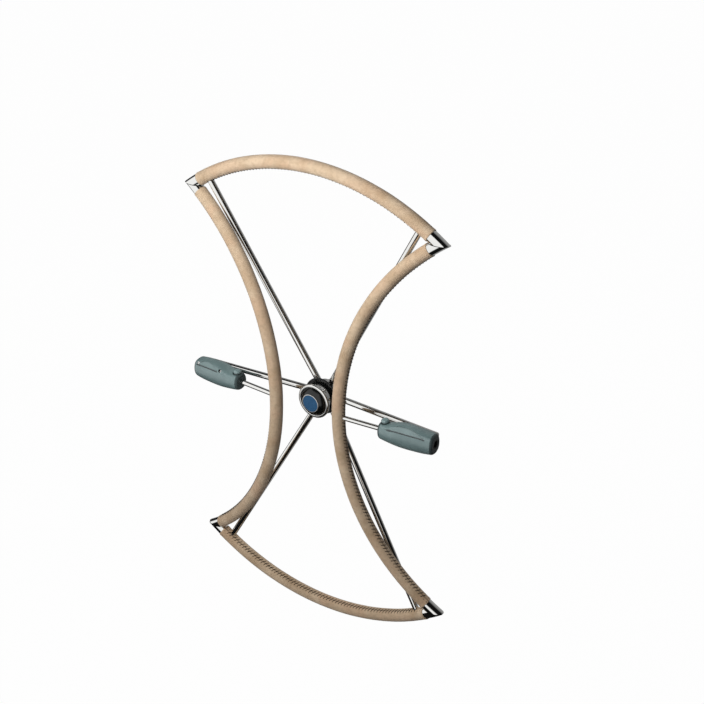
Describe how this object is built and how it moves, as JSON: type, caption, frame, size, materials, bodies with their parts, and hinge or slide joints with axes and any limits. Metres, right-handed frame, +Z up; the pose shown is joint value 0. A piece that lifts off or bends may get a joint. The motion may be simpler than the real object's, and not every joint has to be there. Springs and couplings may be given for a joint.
{
  "type": "folding steering wheel",
  "caption": "Boat steering wheel with a stitched leather rim whose sides fold inward on corner hinges and lock open with sliding grips on straight rods.",
  "frame": {"origin": "on the shaft's axis at the back face of the hub", "axes": "+Y along the shaft away from the helmsman, +Z up, +X to the helmsman's right"},
  "size_m": [0.6118, 0.1008, 1.0158],
  "materials": {
    "polished_steel": "polished stainless",
    "inner_steel": "plain machined",
    "leather": "natural tan, stitched",
    "grip": "soft grey moulding",
    "grip_end": "dark moulding",
    "button": "soft grey moulding",
    "cone": "black gloss",
    "badge": "plain blue enamel look",
    "bush": "bearing plastic"
  },
  "bodies": {
    "wheel_frame": {"hub": "polished_steel", "spoke_cover": "cone", "hub_washer": "polished_steel", "hub_nut": "polished_steel", "hub_cone": "cone", "badge_bezel": "polished_steel", "badge": "badge", "spoke_upper_right": "polished_steel", "spoke_upper_left": "polished_steel", "spoke_lower_right": "polished_steel", "spoke_lower_left": "polished_steel", "spoke_right": "polished_steel", "spoke_left": "polished_steel", "spoke_plug_right": "polished_steel", "spoke_plug_left": "polished_steel", "rim_tube_top": "polished_steel", "rim_tube_bottom": "polished_steel", "rim_leather_top": "leather", "rim_leather_bottom": "leather", "corner_fitting_upper_right": "polished_steel", "corner_fitting_upper_left": "polished_steel", "corner_fitting_lower_right": "polished_steel", "corner_fitting_lower_left": "polished_steel", "hinge_pin_upper_right": "inner_steel", "hinge_pin_upper_left": "inner_steel", "hinge_pin_lower_right": "inner_steel", "hinge_pin_lower_left": "inner_steel"},
    "right_rim": {"rim_tube_right": "polished_steel", "rim_leather_right": "leather", "hinge_fitting_upper_right": "polished_steel", "hinge_fitting_lower_right": "polished_steel", "hinge_bush_upper_right": "bush", "hinge_bush_lower_right": "bush", "lock_rod_right": "polished_steel"},
    "right_grip": {"grip_body_right": "grip", "grip_collar_right": "grip_end", "grip_mouth_right": "grip_end", "grip_sleeve_right": "bush", "grip_screws_right": "inner_steel", "button_spring_right": "inner_steel"},
    "right_button": {"thumb_button_right": "button", "latch_plate_right": "inner_steel"},
    "left_rim": {"rim_tube_left": "polished_steel", "rim_leather_left": "leather", "hinge_fitting_upper_left": "polished_steel", "hinge_fitting_lower_left": "polished_steel", "hinge_bush_upper_left": "bush", "hinge_bush_lower_left": "bush", "lock_rod_left": "polished_steel"},
    "left_grip": {"grip_body_left": "grip", "grip_collar_left": "grip_end", "grip_mouth_left": "grip_end", "grip_sleeve_left": "bush", "grip_screws_left": "inner_steel", "button_spring_left": "inner_steel"},
    "left_button": {"thumb_button_left": "button", "latch_plate_left": "inner_steel"}
  },
  "joints": [
    {"name": "right_fold", "type": "hinge", "parent": "wheel_frame", "child": "right_rim", "pos_m": [0.28464, -0.058, 0], "axis": [0, 0, 1], "range_deg": [0, 172]},
    {"name": "right_slide", "type": "slide", "parent": "right_rim", "child": "right_grip", "axis": [0.9975, 0.0709, 0], "range_m": [0, 0.04]},
    {"name": "right_press", "type": "slide", "parent": "right_grip", "child": "right_button", "axis": [0, 0, -1], "range_m": [0, 0.003], "stiffness_N_per_m": 1000, "springref_m": -0.001, "deforming": ["button_spring_right"]},
    {"name": "left_fold", "type": "hinge", "parent": "wheel_frame", "child": "left_rim", "pos_m": [-0.28464, -0.058, 0], "axis": [0, 0, -1], "range_deg": [0, 172]},
    {"name": "left_slide", "type": "slide", "parent": "left_rim", "child": "left_grip", "axis": [-0.9975, 0.0709, 0], "range_m": [0, 0.04]},
    {"name": "left_press", "type": "slide", "parent": "left_grip", "child": "left_button", "axis": [0, 0, -1], "range_m": [0, 0.003], "stiffness_N_per_m": 1000, "springref_m": -0.001, "deforming": ["button_spring_left"]}
  ]
}
